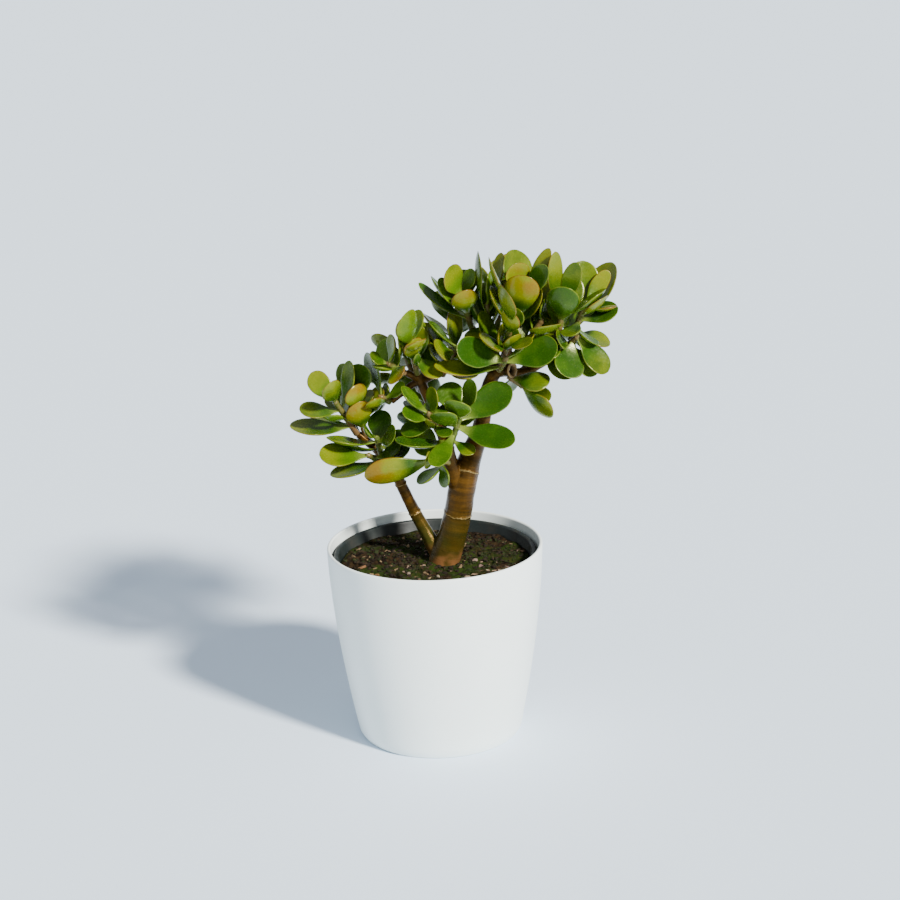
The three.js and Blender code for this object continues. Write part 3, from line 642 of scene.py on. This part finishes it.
def make_bark(material):
    mesh = joined_limbs(material)
    points, normals = read_vectors(mesh, "co") / MM, read_vectors(mesh, "normal")
    along, angle, owner = nearest_limb(points)
    scar = scar_strength(along, angle, owner)
    sawn, hollow, out = stub_end(points)
    rough = LUMP_HEIGHT * soft_noise(points, LUMP_SIZE) + RIDGE_HEIGHT * bark_ridges(along, angle)
    proud = SCAR_HEIGHT * scar + rough * (1 - sawn)
    points += normals * proud[:, None] - np.outer(HOLLOW_DEPTH * hollow, out)
    mesh.vertices.foreach_set("co", (points * MM).ravel())
    run = along + RUN_OFFSET * owner
    set_values(mesh, {"run": run, "turn": angle, "scar": scar, "sawn": sawn, "hollow": hollow})
    piece = finish_piece("bark", mesh, material)
    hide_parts("trunk")
    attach(piece, BODY)


# Pots

def turned(name, profile, material):
    """A lathed piece from a closed profile of [radius, height] that starts and ends on the axis."""
    mesh = bpy.data.meshes.new(name)
    work = bmesh.new()
    ring = [work.verts.new((radius * MM, 0, height * MM)) for radius, height in profile]
    edges = [work.edges.new(pair) for pair in zip(ring, ring[1:])]
    bmesh.ops.spin(
        work, geom=ring + edges, cent=(0, 0, 0), axis=(0, 0, 1),
        angle=2 * math.pi, steps=POT_SIDES, use_merge=True,
    )
    bmesh.ops.remove_doubles(work, verts=work.verts, dist=1e-6)
    bmesh.ops.recalc_face_normals(work, faces=work.faces)
    work.to_mesh(mesh)
    work.free()
    return finish_piece(name, mesh, material)


def arc(middle, radius, start, end, steps):
    """Points of a round corner, angles in degrees."""
    turns = [math.radians(start + (end - start) * k / steps) for k in range(steps + 1)]
    return [(middle[0] + radius * math.cos(t), middle[1] + radius * math.sin(t)) for t in turns]


def pot_radius(height):
    return LIP_RADIUS - (LIP_RADIUS - LOW_RADIUS) * (1 - height / POT_HEIGHT) ** POT_BULGE


def make_cachepot(material):
    half = POT_WALL / 2
    low, inner_low, edge = 5, 10, POT_HEIGHT - half
    outer = [(pot_radius(z), z) for z in np.linspace(low, edge, 40)]
    lip = arc((pot_radius(POT_HEIGHT) - half, edge), half, 0, 180, 10)
    inner = [(pot_radius(z) - POT_WALL, z) for z in np.linspace(edge, inner_low, 30)]
    foot = arc((FOOT_RADIUS - 1, FOOT_ROUND), FOOT_ROUND, -90, -20, 6)
    profile = [(0, 0), (20, 0), (45, 0), *foot, *outer, *lip[1:], *inner[1:]]
    profile += [(pot_radius(low) - POT_WALL - FOOT_COVE, POT_FLOOR), (40, POT_FLOOR), (0, POT_FLOOR)]
    piece = turned("white_pot", profile, material)
    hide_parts("cachepot")
    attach(piece, BODY)


def liner_inside(height):
    share = (height - LINER_LOW) / (LINER_TOP - LINER_LOW)
    return LINER_FOOT + (LINER_NECK - LINER_FOOT) * share - LINER_WALL


def liner_profile():
    """The nursery pot's outline: floor, foot, wall, stepped rim, and the inside back down."""
    shoulder, floor = LINER_TOP - RIM_HEIGHT, LINER_LOW + LINER_FLOOR
    neck = LINER_NECK - LINER_WALL
    foot = arc((LINER_FOOT - LINER_BEND, LINER_LOW + LINER_BEND), LINER_BEND, -90, 0, 5)
    rim = arc((LINER_RIM - LINER_ROUND, LINER_TOP - LINER_ROUND), LINER_ROUND, 0, 120, 6)
    return [
        (0, LINER_LOW), (30, LINER_LOW), *foot,
        (liner_inside(shoulder) + LINER_WALL, shoulder), (LINER_RIM - 0.6, shoulder),
        (LINER_RIM, shoulder + 0.8), *rim, (neck + 0.5, LINER_TOP - 0.6), (neck, LINER_TOP - 1.6),
        (liner_inside(floor), floor), (0, floor),
    ]


def drain_drills():
    """A ring of round bars through the nursery pot's floor, to cut its drain holes with."""
    work = bmesh.new()
    for k in range(DRAIN_HOLES):
        turn = 2 * math.pi * k / DRAIN_HOLES
        place = Vector((DRAIN_CIRCLE * math.cos(turn), DRAIN_CIRCLE * math.sin(turn), LINER_LOW)) * MM
        bmesh.ops.create_cone(
            work, cap_ends=True, segments=DRAIN_SIDES, radius1=DRAIN_RADIUS * MM,
            radius2=DRAIN_RADIUS * MM, depth=4 * LINER_FLOOR * MM, matrix=Matrix.Translation(place),
        )
    mesh = bpy.data.meshes.new("drills")
    work.to_mesh(mesh)
    work.free()
    drills = bpy.data.objects.new("drills", mesh)
    bpy.context.scene.collection.objects.link(drills)
    return drills


def make_liner(material):
    piece = turned("nursery_pot", liner_profile(), material)
    drills = drain_drills()
    cut = piece.modifiers.new("drain", "BOOLEAN")
    cut.object, cut.operation, cut.solver = drills, "DIFFERENCE", "EXACT"
    pierced = with_modifiers(piece)
    piece.modifiers.clear()
    piece.data = pierced
    bpy.data.objects.remove(drills)
    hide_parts("liner_pot")
    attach(piece, BODY)


# Soil, chips and moss

# Clods of the soil, by size: width, height and seed
CLODS = [(7, 1.9, 0), (2.6, 1.2, 4), (1.2, 0.7, 9)]
# How the clods flatten towards the nursery pot's wall: share left there, and how fast they grow
WALL_CLODS, CLODS_GROW = 0.25, 12


def soil_height(x, y):
    """The soil's surface, in the same low waves as the CAD solid."""
    waves = np.sin(x / 9 + 1) * np.cos(y / 11) + 0.6 * np.sin(x / 5 - y / 6)
    return SOIL_LEVEL + SOIL_SWELL * waves


def clod_height(x, y):
    return sum(height * noise.noise((x / width, y / width, seed)) for width, height, seed in CLODS)


def soil_reach(height):
    return liner_inside(height) - SEAT


def make_soil(material):
    bottom, side_top = LINER_LOW + LINER_FLOOR + SEAT, SOIL_LEVEL - 6
    reach = soil_reach(SOIL_LEVEL) - SEAT
    turns = np.arange(SOIL_SIDES) * 2 * np.pi / SOIL_SIDES
    circle = np.column_stack([np.cos(turns), np.sin(turns), np.zeros(SOIL_SIDES)])
    rings = [soil_reach(height) * circle + (0, 0, height) for height in (bottom, side_top)]
    for share in np.linspace(0.01, 1, SOIL_RINGS)[::-1]:
        x, y, _ = (reach * share * circle).T
        clods = np.array([clod_height(a, b) for a, b in zip(x, y)])
        clods = clods * min(1, (1 - share) * CLODS_GROW + WALL_CLODS)
        rings.append(np.column_stack([x, y, soil_height(x, y) + clods]))
    points = np.vstack(rings + [[(0, 0, bottom)], [(0, 0, soil_height(0, 0))]])
    pile = Pile()
    pile.add(points, closed_faces(len(rings), SOIL_SIDES))
    piece = pile.make("soil_bed", material)
    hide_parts("soil")
    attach(piece, BODY)


def hull(points):
    """Vertices and faces of the convex body round some points."""
    work = bmesh.new()
    for point in points:
        work.verts.new(point)
    bmesh.ops.convex_hull(work, input=work.verts)
    loose = [v for v in work.verts if not v.link_faces]
    bmesh.ops.delete(work, geom=loose, context="VERTS")
    work.verts.ensure_lookup_table()
    work.verts.index_update()
    verts = np.array([v.co for v in work.verts])
    faces = [tuple(v.index for v in face.verts) for face in work.faces]
    work.free()
    return verts, faces


# Broken flakes and rounded stones: how many shapes, corners of each, and half sizes
FLAKE_SHAPES, FLAKE_CORNERS, FLAKE_SIZE = 10, 11, (1, 0.6, 0.28)
STONE_SHAPES, STONE_CORNERS, STONE_SIZE = 8, 34, (1, 0.8, 0.6)


def chip_shapes(draw):
    """Flakes and stones of unit size, to be scaled and turned."""
    shapes = {"flake": [], "stone": []}
    for _ in range(FLAKE_SHAPES):
        corners = [[draw.uniform(-half, half) for half in FLAKE_SIZE] for _ in range(FLAKE_CORNERS)]
        shapes["flake"].append(hull(corners))
    for _ in range(STONE_SHAPES):
        ways = [np.array([draw.gauss(0, 1) for _ in range(3)]) for _ in range(STONE_CORNERS)]
        shapes["stone"].append(hull([unit(way) * STONE_SIZE for way in ways]))
    return shapes


# Kinds of crumb in the potting mix: how many, least and greatest size in mm, form, and colour
CRUMBS = [
    (260, (1.4, 3.8), "flake", (0.030, 0.018, 0.008)),
    (70, (1.8, 4.6), "flake", (0.20, 0.135, 0.07)),
    (34, (1.6, 4.0), "flake", (0.30, 0.20, 0.14)),
    (420, (0.9, 2.8), "stone", (0.008, 0.005, 0.003)),
    (620, (0.8, 2.4), "stone", (0.010, 0.022, 0.003)),
    (150, (0.6, 1.5), "flake", (0.05, 0.03, 0.014)),
]
# Larger pieces that stand out: x, y, size in mm and colour
LANDMARKS = [
    (35, -44, 6.5, (0.37, 0.25, 0.17)), (28, -49, 5, (0.41, 0.31, 0.22)),
    (41, -18, 7, (0.19, 0.12, 0.1)), (58, -26, 6, (0.31, 0.24, 0.16)),
    (64, -20, 5, (0.26, 0.17, 0.15)), (-22, -24, 5, (0.32, 0.25, 0.17)),
    (-24, -36, 4.5, (0.35, 0.26, 0.19)), (2, -42, 4.5, (0.3, 0.24, 0.16)),
    (36, -2, 5, (0.22, 0.15, 0.12)), (-52, -30, 6, (0.21, 0.11, 0.04)),
    (-66, -14, 7, (0.19, 0.09, 0.04)), (-72, 8, 6, (0.17, 0.09, 0.04)),
    (-40, -12, 5, (0.25, 0.15, 0.07)), (46, -32, 4.5, (0.27, 0.22, 0.15)),
    (-10, -58, 5, (0.28, 0.2, 0.12)),
]
# A landmark's size over that of the shape it is made from
LANDMARK_SPAN = 1.6
# How far out crumbs lie, and the circle round the trunk that they keep clear of
CRUMB_REACH = 82
TRUNK_FOOT, TRUNK_CLEAR = (9, 0), 14
# How one crumb differs from the next: turn and tilt in radians, depth and height over its
# width, how far it stands out of the soil, and shade
CRUMB_TURN, CRUMB_TILT = 6.3, 0.5
CRUMB_DEPTH, CRUMB_HEIGHT, CRUMB_OUT, CRUMB_SHADE = (0.6, 1.1), (0.7, 1.1), (0, 0.3), (0.6, 1.25)


def place_crumb(pile, shape, x, y, size, colour, draw):
    verts, faces = shape
    spin = Matrix.Rotation(draw.uniform(0, CRUMB_TURN), 3, "Z")
    spin = spin @ Matrix.Rotation(draw.uniform(-CRUMB_TILT, CRUMB_TILT), 3, "X")
    verts = verts * size * (1, draw.uniform(*CRUMB_DEPTH), draw.uniform(*CRUMB_HEIGHT))
    verts = verts @ np.array(spin).T + (x, y, soil_height(x, y) + size * draw.uniform(*CRUMB_OUT))
    shade = draw.uniform(*CRUMB_SHADE)
    red, green, blue = (shade * part for part in colour)
    pile.add(verts, faces, red=red, green=green, blue=blue)


def make_crumbs(material):
    draw = random.Random(CRUMB_SEED)
    shapes = chip_shapes(draw)
    pile = Pile("red", "green", "blue")
    for count, sizes, form, colour in CRUMBS:
        for _ in range(count):
            radius = CRUMB_REACH * math.sqrt(draw.random())
            turn = draw.uniform(0, 2 * math.pi)
            x, y = radius * math.cos(turn), radius * math.sin(turn)
            if math.dist((x, y), TRUNK_FOOT) < TRUNK_CLEAR:
                continue
            shape = draw.choice(shapes[form])
            place_crumb(pile, shape, x, y, draw.uniform(*sizes), colour, draw)
    for x, y, size, colour in LANDMARKS:
        shape = draw.choice(shapes["flake"] + shapes["stone"])
        place_crumb(pile, shape, x, y, size / LANDMARK_SPAN, colour, draw)
    piece = pile.make("soil_crumbs", material, smooth=False)
    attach(piece, BODY)


# Materials

class Shader:
    """A node material with short calls for the nodes that it uses."""

    def __init__(self, name, roughness, **sockets):
        self.material = bpy.data.materials.new(name)
        self.material.use_nodes = True
        self.tree = self.material.node_tree
        self.surface = self.tree.nodes["Principled BSDF"]
        self.surface.inputs["Roughness"].default_value = roughness
        for label, value in sockets.items():
            self.surface.inputs[label.replace("_", " ")].default_value = value

    def node(self, kind, **settings):
        made = self.tree.nodes.new(kind)
        for label, value in settings.items():
            setattr(made, label, value)
        return made

    def wire(self, node, sources, output):
        """Give a node its inputs, each a number, a colour or another node's output, and hand
        back one of its outputs. An input whose source is None stays as it is."""
        for label, source in sources.items():
            target = node.inputs[label]
            if isinstance(source, (int, float)):
                target.default_value = source
            elif isinstance(source, tuple):
                target.default_value = (*source, 1)[:len(target.default_value)]
            elif source is not None:
                self.tree.links.new(source, target)
        return node.outputs[output]

    def value(self, name):
        return self.node("ShaderNodeAttribute", attribute_name=name).outputs["Fac"]

    def place(self):
        return self.node("ShaderNodeTexCoord").outputs["Object"]

    def noise(self, scale, detail, place=None):
        sources = {"Vector": place or self.place(), "Scale": scale, "Detail": detail}
        return self.wire(self.node("ShaderNodeTexNoise"), sources, "Fac")

    def cells(self, scale):
        sources = {"Vector": self.place(), "Scale": scale}
        return self.wire(self.node("ShaderNodeTexVoronoi"), sources, "Distance")

    def plus(self, first, second):
        return self.wire(self.node("ShaderNodeMath", operation="ADD"), {0: first, 1: second}, 0)

    def times(self, first, second):
        return self.wire(self.node("ShaderNodeMath", operation="MULTIPLY"), {0: first, 1: second}, 0)

    def ramp(self, source, low, high, start=0, end=1):
        """Smooth step of source from low to high, given out between start and end."""
        made = self.node("ShaderNodeMapRange", interpolation_type="SMOOTHSTEP")
        limits = {"From Min": low, "From Max": high, "To Min": start, "To Max": end}
        return self.wire(made, {"Value": source, **limits}, "Result")

    def mix(self, share, first, second):
        """Colour first, and second as far as share says."""
        made = self.node("ShaderNodeMix", data_type="RGBA")
        return self.wire(made, {"Factor": share, 6: first, 7: second}, 2)

    def bump(self, height, distance, strength, under=None):
        """A bump that is distance metres high, laid over the bump under it."""
        sources = {"Height": height, "Distance": distance, "Strength": strength, "Normal": under}
        return self.wire(self.node("ShaderNodeBump"), sources, "Normal")

    def finish(self, colour, roughness=None, normal=None):
        sources = {"Base Color": colour, "Roughness": roughness, "Normal": normal}
        self.wire(self.surface, sources, 0)
        return self.material


# Colours of leaves and green stems; the pale rim colour is a painted highlight along the leaf rims
LEAF = {
    "deep": (0.012, 0.046, 0.001), "fresh": (0.064, 0.13, 0.0015), "heel": (0.17, 0.22, 0.03),
    "gold": (0.135, 0.16, 0.003), "orange": (0.165, 0.093, 0.001), "painted rim highlight": (0.14, 0.17, 0.012),
    "red rim": (0.12, 0.024, 0.006), "pore": (0.12, 0.08, 0.01), "stem": (0.07, 0.10, 0.015),
    "old stem": (0.13, 0.075, 0.03),
}
# Bark colours; the hollow colour is painted shade inside the stub's hollow
BARK = {
    "dark": (0.011, 0.0045, 0.0005), "bronze": (0.056, 0.024, 0.0018),
    "light streak": (0.10, 0.043, 0.0045), "dark streak": (0.004, 0.0018, 0.0006),
    "olive": (0.024, 0.027, 0.004), "foot": (0.13, 0.058, 0.020), "scar": (0.20, 0.145, 0.055),
    "sawn": (0.28, 0.18, 0.08), "hollow": (0.010, 0.006, 0.004),
}
SOIL = {
    "dark": (0.004, 0.0025, 0.0015), "brown": (0.026, 0.015, 0.006), "grit": (0.055, 0.034, 0.017),
    "moss": (0.016, 0.030, 0.003), "stain": (0.03, 0.02, 0.012),
}
POT_WHITES = (0.84, 0.905, 0.885), (0.79, 0.86, 0.84)
LINER_DARK, LINER_DUST = (0.004, 0.008, 0.007), (0.025, 0.020, 0.013)
FLOOR_COLOUR = (0.74, 0.86, 1.0)


def leaf_material():
    s = Shader(
        "leaf_wax", 0.3, Subsurface_Weight=0.1, Subsurface_Scale=0.004,
        Subsurface_Radius=(0.6, 0.9, 0.2), IOR=1.4, Specular_Tint=(0.95, 1.0, 0.55, 1),
    )
    rim, along, sun = s.value("rim"), s.value("along"), s.value("sun")
    cloud, grain, pores = s.noise(60, 4), s.noise(420, 3), s.cells(620)
    # Green, paler towards the heel
    mottle = s.plus(s.times(cloud, 0.7), s.times(s.value("tone"), 0.5))
    colour = s.mix(s.ramp(mottle, 0.35, 0.95), LEAF["deep"], LEAF["fresh"])
    colour = s.mix(s.ramp(along, 0.32, 0.02, 0, 0.75), colour, LEAF["heel"])
    # Gold and then orange where the sun ripens it, from the tip down
    ripe = s.times(s.ramp(along, 0.2, 0.85), s.ramp(cloud, 0.25, 0.7, 0.55, 1.1))
    ripe = s.times(ripe, sun)
    colour = s.mix(s.ramp(ripe, 0.05, 0.5), colour, LEAF["gold"])
    colour = s.mix(s.ramp(ripe, 0.4, 1), colour, LEAF["orange"])
    # A painted highlight along the rim, and a red rim on sunned leaves
    painted_rim_highlight = s.times(s.ramp(rim, 1.1, 0.3, 0, 0.5), s.ramp(along, 0.2, 0.5))
    colour = s.mix(painted_rim_highlight, colour, LEAF["painted rim highlight"])
    edge = s.times(s.ramp(rim, 0.75, 0.15), s.ramp(along, 0.25, 0.7))
    edge = s.times(edge, s.ramp(sun, 0.12, 0.6, 0, 0.75))
    colour = s.mix(edge, colour, LEAF["red rim"])
    colour = s.mix(s.ramp(pores, 0.16, 0.08, 0, 0.35), colour, LEAF["pore"])
    stem = s.mix(s.ramp(cloud, 0.35, 0.65), LEAF["stem"], LEAF["old stem"])
    colour = s.mix(s.value("stem"), colour, stem)
    normal = s.bump(cloud, 0.0012, 0.35, s.bump(pores, 0.00012, 0.35))
    return s.finish(colour, s.ramp(grain, 0.3, 0.7, 0.2, 0.3), normal)


def bark_material():
    s = Shader("bark_bronze", 0.3, IOR=1.45, Specular_Tint=(1.0, 0.58, 0.2, 1))
    # Fine and wide streaks that run round each limb
    lines = {0: s.value("run"), 1: s.times(s.value("turn"), 0.7)}
    lines = s.wire(s.node("ShaderNodeCombineXYZ"), lines, 0)
    fine, wide, patch = s.noise(1.1, 4, lines), s.noise(0.16, 3, lines), s.noise(38, 3)
    colour = s.mix(s.ramp(wide, 0.35, 0.65), BARK["dark"], BARK["bronze"])
    colour = s.mix(s.ramp(fine, 0.52, 0.72, 0, 0.6), colour, BARK["light streak"])
    colour = s.mix(s.ramp(fine, 0.42, 0.3, 0, 0.6), colour, BARK["dark streak"])
    # Olive low down, and rusty at the foot; heights in metres
    height = s.wire(s.node("ShaderNodeSeparateXYZ"), {0: s.place()}, 2)
    low = s.ramp(s.plus(height, s.times(patch, 0.03)), 0.235, 0.2)
    low = s.times(low, s.ramp(patch, 0.35, 0.6, 0.5, 1))
    colour = s.mix(low, colour, BARK["olive"])
    foot = s.times(s.ramp(height, 0.182, 0.168), s.ramp(patch, 0.4, 0.55))
    colour = s.mix(foot, colour, BARK["foot"])
    colour = s.mix(s.ramp(s.value("scar"), 0.5, 0.9), colour, BARK["scar"])
    colour = s.mix(s.value("sawn"), colour, BARK["sawn"])
    # Painted shade: the stub's hollow is coloured near black
    colour = s.mix(s.value("hollow"), colour, BARK["hollow"])
    normal = s.bump(patch, 0.0015, 0.3, s.bump(fine, 0.0005, 0.45))
    return s.finish(colour, s.ramp(fine, 0.3, 0.7, 0.38, 0.24), normal)


def soil_material():
    s = Shader("potting_soil", 0.95, Specular_IOR_Level=0.08)
    clods, grit, moss = s.noise(260, 6), s.noise(900, 4), s.noise(34, 4)
    colour = s.mix(s.ramp(clods, 0.35, 0.65), SOIL["dark"], SOIL["brown"])
    colour = s.mix(s.ramp(grit, 0.62, 0.72, 0, 0.8), colour, SOIL["grit"])
    colour = s.mix(s.ramp(moss, 0.45, 0.6, 0, 0.85), colour, SOIL["moss"])
    normal = s.bump(clods, 0.002, 0.9)
    return s.finish(colour, normal=s.bump(grit, 0.0008, 0.8, normal))


def crumb_material():
    s = Shader("soil_crumbs", 0.85, Specular_IOR_Level=0.15)
    parts = {name: s.value(name.lower()) for name in ("Red", "Green", "Blue")}
    colour = s.wire(s.node("ShaderNodeCombineColor"), parts, 0)
    grain = s.noise(1100, 4)
    colour = s.mix(s.ramp(grain, 0.3, 0.7, 0, 0.6), colour, SOIL["stain"])
    return s.finish(colour, normal=s.bump(grain, 0.0006, 0.7))


def pot_material():
    s = Shader("pot_white", 0.34, IOR=1.46)
    cloud, fine = s.noise(9, 3), s.noise(1400, 2)
    colour = s.mix(s.ramp(cloud, 0.3, 0.7), *POT_WHITES)
    return s.finish(colour, s.ramp(cloud, 0.3, 0.7, 0.3, 0.4), s.bump(fine, 0.00006, 0.25))


def liner_material():
    s = Shader("liner_dark", 0.45)
    dust, fine = s.noise(60, 5), s.noise(700, 3)
    colour = s.mix(s.ramp(dust, 0.5, 0.75, 0, 0.5), LINER_DARK, LINER_DUST)
    return s.finish(colour, s.ramp(dust, 0.3, 0.7, 0.35, 0.65), s.bump(fine, 0.0002, 0.4))


# Stage, lights and camera, in metres

FLOOR_REACH = 30
LIGHT_AIM = (0, 0, 0.25)


def make_stage():
    corners = [(x * FLOOR_REACH, y * FLOOR_REACH, 0) for x, y in ((-1, -1), (1, -1), (1, 1), (-1, 1))]
    mesh = bpy.data.meshes.new("floor")
    mesh.from_pydata(corners, [], [(0, 1, 2, 3)])
    floor = finish_piece("floor", mesh, Shader("floor", 0.75).finish(FLOOR_COLOUR))


def add_light(name, kind, place, power, colour, **settings):
    data = bpy.data.lights.new(name, kind)
    data.energy, data.color = power, colour
    for label, value in settings.items():
        setattr(data, label, value)
    lamp = bpy.data.objects.new(name, data)
    lamp.location = place
    lamp.rotation_euler = (Vector(LIGHT_AIM) - Vector(place)).to_track_quat("-Z", "Y").to_euler()
    bpy.context.scene.collection.objects.link(lamp)


def make_lights():
    world = bpy.data.worlds.new("studio")
    world.use_nodes = True
    background = world.node_tree.nodes["Background"]
    background.inputs["Color"].default_value = (0.84, 0.91, 1.0, 1)
    background.inputs["Strength"].default_value = 0.6
    bpy.context.scene.world = world
    add_light("key", "SUN", (1.45, -1.65, 1.75), 9.5, (1.0, 0.97, 0.90), angle=math.radians(7))
    add_light("fill", "AREA", (-1.8, -1.6, 1.3), 5, (0.88, 0.93, 1.0), size=1.6)


def make_camera():
    data = bpy.data.cameras.new("camera")
    data.sensor_width = SENSOR
    data.lens = CAMERA["focal"] / PHOTO_WIDTH * SENSOR
    camera = bpy.data.objects.new("camera", data)
    yaw, pitch, roll = (math.radians(CAMERA[key]) for key in ("yaw", "pitch", "roll"))
    aim = Matrix.Rotation(-yaw, 4, "Z") @ Matrix.Rotation(math.pi / 2 - pitch, 4, "X")
    aim = aim @ Matrix.Rotation(roll, 4, "Z")
    camera.matrix_world = Matrix.Translation(Vector(CAMERA["place"]) * MM) @ aim
    bpy.context.scene.collection.objects.link(camera)
    bpy.context.scene.camera = camera


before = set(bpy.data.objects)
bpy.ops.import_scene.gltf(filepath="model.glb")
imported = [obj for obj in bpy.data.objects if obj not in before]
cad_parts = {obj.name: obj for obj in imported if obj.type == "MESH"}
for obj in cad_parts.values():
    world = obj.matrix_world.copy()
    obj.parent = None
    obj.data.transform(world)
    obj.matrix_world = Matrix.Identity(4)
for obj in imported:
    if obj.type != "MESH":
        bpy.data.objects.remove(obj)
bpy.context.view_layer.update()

make_camera()
make_cachepot(pot_material())
make_liner(liner_material())
make_soil(soil_material())
make_crumbs(crumb_material())
make_bark(bark_material())
make_shoots(leaf_material())
make_stage()
make_lights()
